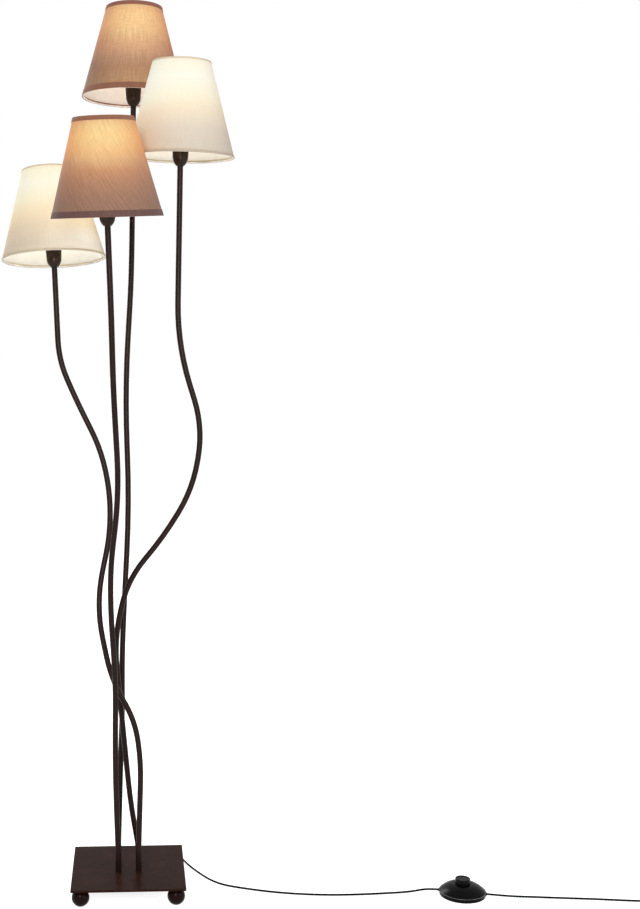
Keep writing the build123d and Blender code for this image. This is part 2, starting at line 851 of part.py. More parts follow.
def plug_body():
    """Flat moulded plug: a rounded front block that tapers to the cord's neck."""
    front = extrude(RectangleRounded(plug_width, plug_thickness, plug_corner_radius),
                    plug_front_length)
    shoulder = Pos(0, 0, plug_front_length) * RectangleRounded(plug_width, plug_thickness,
                                                               plug_corner_radius)
    neck = Pos(0, 0, plug_front_length + plug_taper_length) * Circle(plug_neck_diameter / 2)
    body = front + loft([shoulder, neck])
    for side in (-1, 1):
        body -= rod_between(pin_root_diameter / 2 + thread_fit, 0, pin_in_body,
                            side * pin_spacing / 2)
    return body


def plug_pin(side):
    """Round pin with a rounded tip and a thinner root inside the body."""
    tip = pin_diameter / 2
    pin = rod_between(tip, -(pin_length - tip), 0) + Pos(0, 0, -(pin_length - tip)) * Sphere(tip)
    pin += rod_between(pin_root_diameter / 2, 0, pin_in_body - seat_gap)
    return Pos(side * pin_spacing / 2, 0, 0) * pin


# ---------------------------------------------------------------- build and write

save("base_plate", base_plate())
foot_places = square_places(plate_side / 2 - foot_inset)
hole_places = square_places(rod_spacing / 2)
save("ball_feet", *[Pos(x, y, 0) * ball_foot() for x, y in foot_places])
save("foot_studs", *[Pos(x, y, 0) * foot_stud() for x, y in foot_places])
save("rod_nipples", *[Pos(x, y, 0) * rod_nipple() for x, y in hole_places])
save("rod_washers", *[Pos(x, y, 0) * rod_washer() for x, y in hole_places])
save("rod_nuts", *[Pos(x, y, 0) * rod_nut() for x, y in hole_places])
save("junction_cover", junction_cover())
save("cover_screws", *[cover_screw(x, y) for x, y in cover_screw_places()])
save("terminal_block", terminal_block())
save("cord_grip", cord_grip())

cup = holder_cup()
holder = lampholder()
glass = bulb_glass()
cap = bulb_cap()
cloth = shade_cloth()
frame, bottom_hoop = shade_frame()
ring_nut = shade_ring_nut()
planes = []
for name, (side, corners, seat) in lights.items():
    plane = light_plane(corners, seat)
    planes.append(plane)
    place = plane.location
    route = rod_route(side, corners, plane)
    save("rod_" + name, rod_solid(route))
    save("lead_" + name, lead_solid(route, plane))
    save("holder_cup_" + name, place * cup)
    save("lampholder_" + name, place * holder)
    save("bulb_cap_" + name, place * cap)
    save("bulb_glass_" + name, place * glass)
    save("shade_" + name, place * cloth)
    save("shade_frame_" + name, place * frame, place * bottom_hoop)
    save("shade_ring_" + name, place * ring_nut)
save("cup_locknuts", *[plane.location * cup_locknut() for plane in planes])
save("holder_contacts", *[plane.location * holder_contact() for plane in planes])

switch_place = Pos(base_x + switch_x, base_y + switch_y, 0) * Rot(0, 0, switch_turn)
save("switch_base", switch_place * switch_base())
save("switch_housing", switch_place * switch_housing())
save("switch_button", switch_place * switch_button())
save("button_spring", switch_place * button_spring())
save("switch_block", switch_place * switch_block())
save("switch_screws", *[switch_place * switch_screw(x, y) for x, y in switch_screw_places()])

switch_centre = base_centre + Vector(switch_x, switch_y, switch_cord_height)
cord_line = Vector(math.cos(math.radians(switch_turn)), math.sin(math.radians(switch_turn)), 0)
collar_reach = switch_diameter / 2 + switch_collar_length
entry = switch_centre - cord_line * collar_reach
outlet = switch_centre + cord_line * collar_reach
grip_mouth = cover_width / 2 + grip_flange_thickness + grip_nose_length
supply_start = base_centre + Vector(grip_x, grip_mouth, grip_height)
supply_points = (
    [supply_start]
    + on_floor_from_base(supply_bends)
    + [entry - cord_line * cord_approach, entry]
)
save("supply_cord", cord_run("supply_cord", supply_points))

coil_direction = Vector(math.cos(math.radians(coil_heading)), math.sin(math.radians(coil_heading)), 0)
coil_start = base_centre + Vector(coil_start_x, coil_start_y, cord_rest)
plug_points = (
    [outlet, outlet + cord_line * cord_approach]
    + on_floor_from_base(plug_bends)
    + [coil_start - coil_direction * cord_approach, coil_start]
)
save("plug_cord", cord_run("plug_cord", plug_points))

coil, coil_end, coil_way_out = coil_path(coil_start, coil_direction)
coil_solid = swept_tube(coil, cord_diameter)
report_tube("cord_coil", coil, coil_solid, cord_diameter, [])
print("  least gap between turns", round(least_self_gap(coil), 2))
save("cord_coil", coil_solid)

plug_rest = plug_thickness / 2 + seat_gap / 2
sideways = Vector(-coil_way_out.Y, coil_way_out.X, 0)
tail_side = sideways + Vector(0, 0, plug_rest - coil_end.Z)
tail_points = [
    coil_end,
    coil_end + coil_way_out * tail_step,
    coil_end + coil_way_out * (2 * tail_step + tail_slant) + tail_side,
    coil_end + coil_way_out * (3 * tail_step + tail_slant) + tail_side,
]
save("cord_tail", cord_run("cord_tail", tail_points))

plug_front = tail_points[-1] + coil_way_out * (plug_front_length + plug_taper_length)
plug_plane = Plane(origin=plug_front, x_dir=sideways, z_dir=coil_way_out * -1)
save("plug_body", plug_plane.location * plug_body())
save("plug_pins", *[plug_plane.location * plug_pin(side) for side in (-1, 1)])
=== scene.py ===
"""Lit tree floor lamp on a white studio floor, dressed around its CAD frame. Metres, +Z up."""

import bpy
import math
from mathutils import Matrix, Vector, noise


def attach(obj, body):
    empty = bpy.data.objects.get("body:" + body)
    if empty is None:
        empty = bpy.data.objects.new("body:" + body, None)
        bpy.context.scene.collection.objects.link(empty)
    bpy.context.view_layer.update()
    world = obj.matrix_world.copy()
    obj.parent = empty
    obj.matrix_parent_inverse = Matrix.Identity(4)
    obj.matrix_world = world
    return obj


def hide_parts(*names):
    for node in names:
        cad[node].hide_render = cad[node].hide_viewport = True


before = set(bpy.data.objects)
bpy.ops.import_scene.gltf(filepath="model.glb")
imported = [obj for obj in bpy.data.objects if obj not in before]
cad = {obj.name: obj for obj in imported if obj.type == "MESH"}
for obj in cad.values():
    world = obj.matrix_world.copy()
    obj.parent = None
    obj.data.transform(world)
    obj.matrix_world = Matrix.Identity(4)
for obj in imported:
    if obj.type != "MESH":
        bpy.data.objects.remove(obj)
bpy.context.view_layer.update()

# ---------------------------------------------------------------- sizes and places, as in the CAD

base_centre = Vector((0.0172, 0.0053, 0.0))
cord_diameter = 0.0036
cord_rest = 0.00185
grip_height = 0.020
switch_cord_height = 0.0045

# Each light: the rod's last bend, the foot of its cup (both from the plate's centre), its cloth,
# how far its weave leans from the upright and how much its threads differ in tone.
lights = {
    "front": ((-0.024, -0.106, 1.016), (-0.029, -0.119, 1.163), "taupe", -0.62, 0.195),
    "right": ((0.088, -0.018, 0.970), (0.093, -0.024, 1.272), "white", 0.0, 0.037),
    "back": ((0.011, 0.104, 1.174), (0.014, 0.109, 1.394), "taupe", 0.0, 0.245),
    "left": ((-0.1195, 0.051, 0.942), (-0.127, 0.070, 1.106), "white", 0.0, 0.045),
}
shade_low_radius = 0.0920
shade_high_radius = 0.0495
shade_height = 0.159
shade_rise = 0.014
shade_wall = 0.0009
shade_steps = 120
shade_levels = 14
shade_wave = 0.00022
shade_wave_inset = 0.00012

# Hem tapes: bottom and top width on each cloth, how far they stand proud, and their turned-in edge.
hem_widths = {"taupe": (0.0105, 0.0075), "white": (0.0035, 0.003)}
hem_proud = 0.00045
hem_turned_in = 0.005
cloth_thread = 0.0009
tape_thread = 0.0007

# Where each cord lies, from the plate's centre.
supply_places = [
    (0.032, 0.062, grip_height), (0.032, 0.079, grip_height), (0.035, 0.100, 0.0095),
    (0.046, 0.121, cord_rest), (0.065, 0.134, cord_rest), (0.086, 0.131, cord_rest),
    (0.100, 0.115, cord_rest), (0.107, 0.094, cord_rest), (0.116, 0.071, cord_rest),
    (0.130, 0.043, cord_rest), (0.147, 0.013, cord_rest), (0.170, -0.011, cord_rest),
    (0.205, -0.027, cord_rest), (0.250, -0.044, cord_rest), (0.300, -0.056, cord_rest),
    (0.352, -0.0625, cord_rest), (0.405, -0.063, cord_rest), (0.458, -0.0595, cord_rest),
    (0.500, -0.0555, cord_rest),
]
mains_places = [
    (0.680, -0.0835, cord_rest), (0.722, -0.0885, cord_rest), (0.770, -0.095, cord_rest),
    (0.820, -0.101, cord_rest), (0.868, -0.109, cord_rest),
]

# Foot switch: its centre from the plate's centre, its turn, and where the cords enter it.
switch_place = (0.5905, -0.066)
switch_turn = math.radians(-16)
switch_reach = 0.042
switch_rim_height = 0.0072
switch_rim_radius = 0.0404
switch_bead_radius = 0.0005
bead_corners = 10
bead_steps = 96
cord_approach = 0.020

# Spare cord: the coil's start, way in, largest turn, turns in a layer and pitch; then its tail.
coil_start_place = (0.925, -0.116, cord_rest)
coil_heading = math.radians(-7.5)
coil_radius = 0.028
coil_turns = 4
coil_pitch = 0.0041
tail_step = 0.014
tail_slant = 0.0028
tail_side = 0.001
plug_height = 0.0069


def from_base(place):
    """Place in the row frame of a place given from the plate's centre."""
    return base_centre + Vector(place)


# ---------------------------------------------------------------- node materials


class Look:
    """A material under construction: its Principled shader and the nodes that feed it."""

    def __init__(self, name, colour, roughness, metallic=0.0, specular=0.5, sheen=0.0):
        self.material = bpy.data.materials.new(name)
        self.material.use_nodes = True
        self.tree = self.material.node_tree
        self.shader = self.tree.nodes["Principled BSDF"]
        self.shader.inputs["Base Color"].default_value = (*colour, 1.0)
        self.shader.inputs["Roughness"].default_value = roughness
        self.shader.inputs["Metallic"].default_value = metallic
        self.shader.inputs["Specular IOR Level"].default_value = specular
        self.shader.inputs["Sheen Weight"].default_value = sheen

    def node(self, kind, **settings):
        """New node with its properties set."""
        made = self.tree.nodes.new("ShaderNode" + kind)
        for label, value in settings.items():
            setattr(made, label, value)
        return made

    def link(self, out, into):
        """Join an output to an input."""
        self.tree.links.new(out, into)

    def feed(self, socket, value):
        """Give an input a number or colour, or a link from an output."""
        if isinstance(value, bpy.types.NodeSocket):
            self.link(value, socket)
        else:
            socket.default_value = value

    def maths(self, operation, first, second=0.0):
        """Result of a Math node."""
        made = self.node("Math", operation=operation)
        self.feed(made.inputs[0], first)
        self.feed(made.inputs[1], second)
        return made.outputs[0]

    def place(self):
        """Object coordinates, which are the row frame's metres."""
        return self.node("TexCoord").outputs["Object"]

    def weave_sides(self):
        """The weave's map as separate numbers: metres round the shade's bottom edge and up it."""
        weave_map = self.node("UVMap", uv_map="weave").outputs["UV"]
        sides = self.node("SeparateXYZ")
        self.link(weave_map, sides.inputs["Vector"])
        return sides.outputs

    def noise(self, vector, scale, detail=3.0, roughness=0.5):
        """Noise between 0 and 1."""
        made = self.node("TexNoise")
        self.link(vector, made.inputs["Vector"])
        made.inputs["Scale"].default_value = scale
        made.inputs["Detail"].default_value = detail
        made.inputs["Roughness"].default_value = roughness
        return made.outputs["Fac"]

    def ramp(self, factor, stops):
        """Colour ramp through (position, colour) stops."""
        made = self.node("ValToRGB")
        elements = made.color_ramp.elements
        while len(elements) < len(stops):
            elements.new(0.5)
        for element, (position, colour) in zip(elements, stops):
            element.position = position
            element.color = (*colour, 1.0)
        self.link(factor, made.inputs["Fac"])
        return made.outputs["Color"]

    def spread(self, factor, low, high):
        """Map 0..1 to low..high."""
        made = self.node("MapRange")
        self.link(factor, made.inputs["Value"])
        made.inputs["To Min"].default_value = low
        made.inputs["To Max"].default_value = high
        return made.outputs["Result"]

    def bump(self, height, distance, strength):
        """Bump on the shader's normal."""
        made = self.node("Bump")
        made.inputs["Distance"].default_value = distance
        made.inputs["Strength"].default_value = strength
        self.link(height, made.inputs["Height"])
        self.link(made.outputs["Normal"], self.shader.inputs["Normal"])

    def shade_colour(self, output):
        """Feed the base colour."""
        self.link(output, self.shader.inputs["Base Color"])


def tones(colour, spread):
    """A darker and a lighter tone of a colour."""
    return [tuple(part * (1 + side * spread) for part in colour) for side in (-1, 1)]


def painted_metal(name, colour, roughness, specular, grain_scale=1400.0):
    """Satin lacquer on steel: faint cloudy tone, fine orange peel and a little uneven gloss."""
    look = Look(name, colour, roughness, specular=specular)
    here = look.place()
    cloud = look.noise(here, 28.0, 4.0)
    dark, light = tones(colour, 0.22)
    look.shade_colour(look.ramp(cloud, [(0.3, dark), (0.7, light)]))
    look.link(look.spread(look.noise(here, 90.0), roughness - 0.06, roughness + 0.07),
              look.shader.inputs["Roughness"])
    look.bump(look.noise(here, grain_scale, 2.0), 0.00006, 0.5)
    return look.material


def moulded_plastic(name, colour, roughness, specular=0.5, grain=0.00003):
    """Moulded plastic with a fine grain and slight scuffs."""
    look = Look(name, colour, roughness, specular=specular)
    here = look.place()
    dark, light = tones(colour, 0.12)
    look.shade_colour(look.ramp(look.noise(here, 60.0), [(0.3, dark), (0.7, light)]))
    scuffs = look.noise(here, 260.0, 6.0, 0.7)
    look.link(look.spread(scuffs, roughness - 0.05, roughness + 0.12),
              look.shader.inputs["Roughness"])
    look.bump(look.noise(here, 2600.0, 2.0), grain, 0.6)
    return look.material


def bare_metal(name, colour, roughness):
    """Plated or plain metal with fine drawn marks."""
    look = Look(name, colour, roughness, 1.0)
    here = look.place()
    marks = look.noise(here, 900.0, 3.0)
    dark, light = tones(colour, 0.06)
    look.shade_colour(look.ramp(marks, [(0.3, dark), (0.7, light)]))
    look.link(look.spread(marks, roughness - 0.05, roughness + 0.08),
              look.shader.inputs["Roughness"])
    look.bump(marks, 0.00002, 0.4)
    return look.material


def thread_height(look, along, across, thread, lean):
    """Woven surface: warp and weft ridges, with thick and thin threads, from the weave's own map."""
    weave_map = look.node("UVMap", uv_map="weave").outputs["UV"]
    turned = look.node("VectorRotate", rotation_type="Z_AXIS")
    turned.inputs["Angle"].default_value = lean
    look.link(weave_map, turned.inputs["Vector"])
    sides = look.node("SeparateXYZ")
    look.link(turned.outputs["Vector"], sides.inputs["Vector"])
    ridges = []
    slubs = []
    for axis, stretch in (("X", along), ("Y", across)):
        long_way = look.node("Mapping")
        long_way.inputs["Scale"].default_value = stretch
        look.link(turned.outputs["Vector"], long_way.inputs["Vector"])
        slub = look.noise(long_way.outputs["Vector"], 1.0, 4.0, 0.6)
        wave = look.maths("SINE", look.maths("MULTIPLY", sides.outputs[axis], 2 * math.pi / thread))
        ridges.append(look.maths("MULTIPLY", wave, look.spread(slub, 0.3, 1.0)))
        slubs.append(slub)
    return look.maths("ADD", ridges[0], ridges[1]), slubs


def height_up_shade(look):
    """Height up the shade, from 0 at its bottom to 1 at its top."""
    return look.maths("DIVIDE", look.weave_sides()["Y"], shade_height)


def lobe_round(look, azimuth, power):
    """One on the side that the light falls on, falling to nothing a quarter turn away."""
    turn = look.maths("DIVIDE", look.weave_sides()["X"], shade_low_radius)
    turn = look.maths("ADD", turn, math.pi / 2 - math.radians(azimuth))
    return look.maths("POWER", look.maths("MAXIMUM", look.maths("COSINE", turn), 0.0), power)


def blend_colours(look, kind, factor, first, second):
    """Result of a Mix node on two colours."""
    made = look.node("Mix", data_type="RGBA", blend_type=kind)
    look.feed(made.inputs[0], factor)
    look.feed(made.inputs[6], first)
    look.feed(made.inputs[7], second)
    return made.outputs[2]


def lit_cloth(name, colour, lean, streak, glow_stops, painted_side):
    """Shade cloth: slubby weave, with the bulb's light glowing through it and painted light on one
    side.
    """
    look = Look(name, colour, 0.92, specular=0.15, sheen=0.1)
    height, (warp, weft) = thread_height(look, (900.0, 26.0, 1.0), (34.0, 700.0, 1.0),
                                         cloth_thread, lean)
    mixed = look.maths("ADD", look.maths("MULTIPLY", warp, 0.7), look.maths("MULTIPLY", weft, 0.3))
    dark, light = tones(colour, streak)
    look.shade_colour(look.ramp(mixed, [(0.36, dark), (0.64, light)]))
    glow = look.ramp(height_up_shade(look), glow_stops)
    # Painted light on one side of the cloth, added to its glow: a hot spot, or a neighbour's light.
    azimuth, power, painted_side_stops = painted_side
    painted_side_light = look.ramp(height_up_shade(look), painted_side_stops)
    glow = blend_colours(look, "ADD", lobe_round(look, azimuth, power), glow, painted_side_light)
    even = look.ramp(mixed, [(0.34, (1.0 - streak,) * 3), (0.66, (1.0 + streak,) * 3)])
    shine = blend_colours(look, "MULTIPLY", 1.0, glow, even)
    look.link(shine, look.shader.inputs["Emission Color"])
    look.shader.inputs["Emission Strength"].default_value = 1.0
    look.bump(height, 0.00012, 0.5)
    return look.material


def hem_cloth(name, colour, low_glow, high_glow):
    """Hem tape: a close rib weave, with only a little light coming through."""
    look = Look(name, colour, 0.88, specular=0.15, sheen=0.1)
    height, (warp, _) = thread_height(look, (500.0, 40.0, 1.0), (40.0, 500.0, 1.0),
                                      tape_thread, 0.0)
    dark, light = tones(colour, 0.15)
    look.shade_colour(look.ramp(warp, [(0.32, dark), (0.68, light)]))
    glow = look.ramp(height_up_shade(look), [(0.1, low_glow), (0.9, high_glow)])
    look.link(glow, look.shader.inputs["Emission Color"])
    look.shader.inputs["Emission Strength"].default_value = 1.0
    look.bump(height, 0.0001, 0.6)
    return look.material


def shade_lining(name, colour, glow, painted_glow_strength):
    """Smooth pale lining behind the cloth, with a faint painted glow of warm light on it."""
    look = Look(name, colour, 0.6, specular=0.3)
    here = look.place()
    dark, light = tones(colour, 0.03)
    look.shade_colour(look.ramp(look.noise(here, 60.0), [(0.3, dark), (0.7, light)]))
    look.shader.inputs["Emission Color"].default_value = (*glow, 1.0)
    look.shader.inputs["Emission Strength"].default_value = painted_glow_strength
    look.bump(look.noise(here, 1500.0), 0.00003, 0.5)
    return look.material


def glowing_glass(name):
    """Frosted bulb, lit and faintly mottled."""
    look = Look(name, (1.0, 0.93, 0.82), 0.45, specular=0.5)
    here = look.place()
    mottle = look.noise(here, 420.0)
    look.shade_colour(look.ramp(mottle, [(0.3, (0.92, 0.84, 0.72)), (0.7, (1.0, 0.95, 0.86))]))
    look.shader.inputs["Emission Color"].default_value = (1.0, 0.95, 0.83, 1.0)
    look.shader.inputs["Emission Strength"].default_value = 5.7
    look.bump(mottle, 0.00003, 0.4)
    return look.material


# Light that comes through each cloth at shares of its height.
glows = {
    "front": [(0.12, (0.010, 0.005, 0.004)), (0.35, (0.090, 0.030, 0.015)),
              (0.55, (0.250, 0.085, 0.030)), (0.67, (0.450, 0.150, 0.020)),
              (0.80, (0.540, 0.205, 0.030)), (0.92, (0.460, 0.170, 0.030)),
              (1.00, (0.260, 0.090, 0.020))],
    "right": [(0.10, (0.020, 0.000, 0.000)), (0.25, (0.090, 0.050, 0.040)),
              (0.45, (0.250, 0.180, 0.090)), (0.60, (0.330, 0.300, 0.200)),
              (0.80, (0.350, 0.360, 0.320)), (1.00, (0.360, 0.340, 0.260))],
    "back": [(0.12, (0.010, 0.003, 0.001)), (0.35, (0.045, 0.006, 0.002)),
             (0.55, (0.210, 0.050, 0.010)), (0.75, (0.380, 0.140, 0.040)),
             (0.88, (0.390, 0.150, 0.040)), (1.00, (0.250, 0.100, 0.040))],
    "left": [(0.10, (0.110, 0.060, 0.020)), (0.30, (0.220, 0.140, 0.050)),
             (0.45, (0.350, 0.250, 0.100)), (0.60, (0.410, 0.370, 0.220)),
             (0.80, (0.420, 0.430, 0.350)), (1.00, (0.420, 0.400, 0.250))],
}
# Painted light on one side of each cloth, fixed on the shade: that side's azimuth, how narrow it is,
# and its light. The front and back cloths get a painted hot spot on their front; the right and left
# cloths get painted light from the front shade's bulb on their side toward it.
painted_side_glows = {
    "front": (0.0, 2.0, [
        (0.20, (0.0, 0.0, 0.0)), (0.45, (0.110, 0.060, 0.010)), (0.58, (0.210, 0.220, 0.090)),
        (0.75, (0.110, 0.290, 0.150)), (0.88, (0.130, 0.300, 0.160)),
        (1.00, (0.150, 0.180, 0.090))]),
    "right": (-62.0, 3.0, [
        (0.10, (0.080, 0.050, 0.010)), (0.35, (0.110, 0.090, 0.050)),
        (0.55, (0.100, 0.140, 0.150)), (0.80, (0.070, 0.100, 0.090)),
        (1.00, (0.040, 0.070, 0.070))]),
    "back": (0.0, 2.0, [
        (0.08, (0.200, 0.120, 0.045)), (0.25, (0.135, 0.080, 0.030)),
        (0.45, (0.250, 0.180, 0.100)), (0.65, (0.270, 0.300, 0.140)),
        (0.85, (0.250, 0.300, 0.140)), (1.00, (0.210, 0.180, 0.080))]),
    "left": (42.0, 5.0, [
        (0.02, (0.260, 0.280, 0.280)), (0.15, (0.340, 0.360, 0.340)),
        (0.35, (0.240, 0.200, 0.120)), (0.60, (0.080, 0.050, 0.030)),
        (1.00, (0.0, 0.0, 0.0))]),
}

rod_paint = painted_metal("rod_paint", (0.015, 0.0065, 0.0050), 0.36, 0.09)
plate_paint = painted_metal("plate_paint", (0.030, 0.012, 0.009), 0.30, 0.016)
cup_paint = painted_metal("cup_paint", (0.034, 0.019, 0.011), 0.20, 0.09)
ball_gloss = moulded_plastic("ball_gloss", (0.011, 0.0035, 0.003), 0.24, 0.055)
switch_gloss = moulded_plastic("switch_gloss", (0.0027, 0.0027, 0.0027), 0.22, 0.06, 0.00002)
bead_gloss = moulded_plastic("bead_gloss", (0.010, 0.010, 0.010), 0.12, 1.0, 0.00002)
cord_skin = moulded_plastic("cord_skin", (0.003, 0.003, 0.003), 0.38, 0.05)
cover_plastic = moulded_plastic("cover_plastic", (0.020, 0.020, 0.020), 0.55, 0.2, 0.00006)
white_plastic = moulded_plastic("white_plastic", (0.80, 0.78, 0.73), 0.45)
lead_sheath = moulded_plastic("lead_sheath", (0.78, 0.76, 0.72), 0.5)
white_wire = painted_metal("white_wire", (0.82, 0.80, 0.75), 0.35, 0.4, 900.0)
zinc = bare_metal("zinc", (0.56, 0.56, 0.58), 0.35)
nickel = bare_metal("nickel", (0.72, 0.69, 0.64), 0.22)
brass = bare_metal("brass", (0.74, 0.56, 0.27), 0.28)
bulb_glow = glowing_glass("bulb_glow")
# Each lining carries a faint painted glow of warm light.
linings = {
    "taupe": shade_lining("taupe_lining", (0.79, 0.735, 0.69), (1.0, 0.80, 0.66), 0.10),
    "white": shade_lining("white_lining", (0.84, 0.82, 0.765), (1.0, 0.88, 0.70), 0.12),
}
# Each light's hem tape: the front taupe tape's darker base colour than the back one's is painted
# shade; the glows low and high up the shade are the light coming through.
hems = {
    "front": hem_cloth("front_hem", (0.140, 0.075, 0.065), (0.005, 0.002, 0.001),
                       (0.155, 0.050, 0.014)),
    "right": hem_cloth("right_hem", (0.50, 0.42, 0.32), (0.03, 0.02, 0.01), (0.22, 0.19, 0.12)),
    "back": hem_cloth("back_hem", (0.160, 0.080, 0.065), (0.125, 0.045, 0.016),
                      (0.115, 0.035, 0.012)),
    "left": hem_cloth("left_hem", (0.50, 0.42, 0.32), (0.12, 0.09, 0.04), (0.22, 0.19, 0.12)),
}

node_looks = {
    "base_plate": plate_paint, "ball_feet": ball_gloss, "foot_studs": zinc,
    "rod_nipples": zinc, "rod_washers": zinc, "rod_nuts": zinc,
    "junction_cover": cover_plastic, "cover_screws": zinc, "terminal_block": white_plastic,
    "cord_grip": cover_plastic, "cup_locknuts": zinc, "holder_contacts": brass,
    "switch_base": switch_gloss, "switch_housing": switch_gloss, "switch_button": switch_gloss,
    "button_spring": zinc, "switch_block": white_plastic, "switch_screws": zinc,
    "plug_body": cord_skin, "plug_pins": nickel,
}
for light in lights:
    node_looks.update({
        "rod_" + light: rod_paint, "lead_" + light: lead_sheath,
        "holder_cup_" + light: cup_paint, "lampholder_" + light: white_plastic,
        "bulb_cap_" + light: nickel, "bulb_glass_" + light: bulb_glow,
        "shade_frame_" + light: white_wire, "shade_ring_" + light: white_plastic,
    })
for node, look in node_looks.items():
    cad[node].data.materials.clear()
    cad[node].data.materials.append(look)

# ---------------------------------------------------------------- shades


def light_frame(bend, seat):
    """Matrix from a light's own axes (z up its axis, from the cup's foot) to the row frame."""
    up = (Vector(seat) - Vector(bend)).normalized()
    across = Vector((up.z, 0.0, -up.x)).normalized()
    turn = Matrix((across, up.cross(across), up)).transposed().to_4x4()
    return Matrix.Translation(from_base(seat)) @ turn


def cone_radius(share):
    """Outer radius of the cloth at a share of the shade's height."""
    return shade_low_radius + share * (shade_high_radius - shade_low_radius)


def add_piece(name, points, faces, materials, place, weave=None, face_slots=None):
    """Smooth-shaded mesh piece that rides on the lamp, with its weave's map in metres."""
    mesh = bpy.data.meshes.new(name)
    mesh.from_pydata([place @ Vector(point) for point in points], [], faces)
    for material in materials:
        mesh.materials.append(material)
    if weave:
        layer = mesh.uv_layers.new(name="weave")
        for polygon in mesh.polygons:
            spots = [weave[index] for index in polygon.vertices]
            wraps = max(u for u, v in spots) - min(u for u, v in spots) > shade_low_radius
            for loop, (u, v) in zip(polygon.loop_indices, spots):
                lap = 2 * math.pi * shade_low_radius if wraps and u < shade_low_radius else 0.0
                layer.data[loop].uv = (u + lap, v)
    for polygon in mesh.polygons:
        polygon.use_smooth = True
        if face_slots:
            polygon.material_index = face_slots[polygon.index]
    mesh.validate()
    piece = bpy.data.objects.new(name, mesh)
    bpy.context.scene.collection.objects.link(piece)
    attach(piece, "lamp")
    return piece


def lathe(profile, steps):
    """Closed ring mesh from a closed profile of (radius, height, share up the shade)."""
    points, faces, weave = [], [], []
    count = len(profile)
    for step in range(steps):
        angle = 2 * math.pi * step / steps
        for radius, height, share in profile:
            points.append((radius * math.cos(angle), radius * math.sin(angle), height))
            weave.append((angle * shade_low_radius, share * shade_height))
    for step in range(steps):
        after = (step + 1) % steps
        for spot in range(count):
            next_spot = (spot + 1) % count
            faces.append((step * count + spot, after * count + spot,
                          after * count + next_spot, step * count + next_spot))
    return points, faces, weave


def shade_cloth(name, place, cloth, cloth_look):
    """Laminated cloth and its lining: a thin cone with slight waves where it is glued."""
    outside = [level / shade_levels for level in range(shade_levels + 1)]
    profile = [(cone_radius(share), shade_rise + share * shade_height, share) for share in outside]
    profile += [(cone_radius(share) - shade_wall, shade_rise + share * shade_height, share)
                for share in reversed(outside)]
    points, faces, weave = lathe(profile, shade_steps)
    waved = []
    for x, y, z in points:
        spot = Vector((x * 26, y * 26, z * 9)) + place.translation * 50
        wave = shade_wave * noise.noise(spot) - shade_wave_inset
        grow = 1 + wave / math.hypot(x, y)
        waved.append((x * grow, y * grow, z))
    count = len(profile)
    face_slots = [0 if index % count <= shade_levels else 1 for index in range(len(faces))]
    piece = add_piece("cloth_" + name, waved, faces, [cloth_look, linings[cloth]], place,
                      weave, face_slots)
    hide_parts("shade_" + name)
    return piece


def hem_tape(name, place, edge, width):
    """Tape folded over one edge of the shade, with rounded edges; it stands proud of the cloth.

    Each spot of its profile is a share of the shade's height from the edge, and how far the tape
    stands out of the cloth there (1) or into the shade (-1).
    """
    end = 0.0 if edge == "low" else 1.0
    way = 1 if edge == "low" else -1
    reach = width / shade_height
    fold = hem_turned_in / shade_height
    outer = [(reach, 0.0), (reach * 0.985, 0.7), (reach * 0.93, 1.0), (reach * 0.5, 1.0),
             (0.006, 1.0), (0.0015, 0.75)]
    inner = [(0.0015, -0.75), (0.006, -1.0), (fold * 0.9, -1.0), (fold, -0.3)]
    back = [(fold, 0.0), (fold * 0.5, 0.0)]
    profile = []
    for share, proud in outer + inner:
        share_up = end + way * share
        side = 0.0 if proud >= 0 else shade_wall
        radius = cone_radius(share_up) - side + proud * hem_proud
        profile.append((radius, shade_rise + share_up * shade_height, share_up))
    for share, _ in back:
        share_up = end + way * (share + 0.004)
        profile.append((cone_radius(share_up) - shade_wall / 2,
                        shade_rise + share_up * shade_height, share_up))
    points, faces, weave = lathe(profile, shade_steps)
    return add_piece("hem_" + edge + "_" + name, points, faces, [hems[name]], place,
                     weave)


cloths = {"taupe": (0.290, 0.162, 0.108), "white": (0.62, 0.56, 0.46)}
for light, (bend, seat, cloth, lean, streak) in lights.items():
    place = light_frame(bend, seat)
    cloth_look = lit_cloth(cloth + "_cloth_" + light, cloths[cloth], lean, streak, glows[light],
                           painted_side_glows[light])
    shade_cloth(light, place, cloth, cloth_look)
    for edge, width in zip(("low", "high"), hem_widths[cloth]):
        hem_tape(light, place, edge, width)

# ---------------------------------------------------------------- foot switch


def round_bead(name, centre, radius, thickness, look):
    """Thin half-sunk bead round a moulding's edge, which catches the light as a line."""
    profile = []
    for corner in range(bead_corners):
        angle = 2 * math.pi * corner / bead_corners
        profile.append((radius + thickness * math.cos(angle), thickness * math.sin(angle), 0.0))
    points, faces, _ = lathe(profile, bead_steps)
    return add_piece(name, points, faces, [look], Matrix.Translation(centre))


rim_top = from_base((*switch_place, switch_rim_height))
round_bead("switch_rim_bead", rim_top, switch_rim_radius, switch_bead_radius, bead_gloss)

# ---------------------------------------------------------------- cords


def cord_curve(name, points, node_names):
    """Free cord on one smooth spline through its route's points."""
    curve = bpy.data.curves.new(name, "CURVE")
    curve.dimensions = "3D"
    curve.bevel_depth = cord_diameter / 2
    curve.bevel_resolution = 5
    curve.resolution_u = 8
    curve.use_fill_caps = True
    spline = curve.splines.new("NURBS")
    spline.points.add(len(points) - 1)
    for spot, point in zip(spline.points, points):
        spot.co = (*point, 1.0)
    spline.order_u = 3
    spline.use_endpoint_u = True
    piece = bpy.data.objects.new(name, curve)
    bpy.context.scene.collection.objects.link(piece)
    curve.materials.append(cord_skin)
    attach(piece, "lamp")
    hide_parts(*node_names)
    return piece


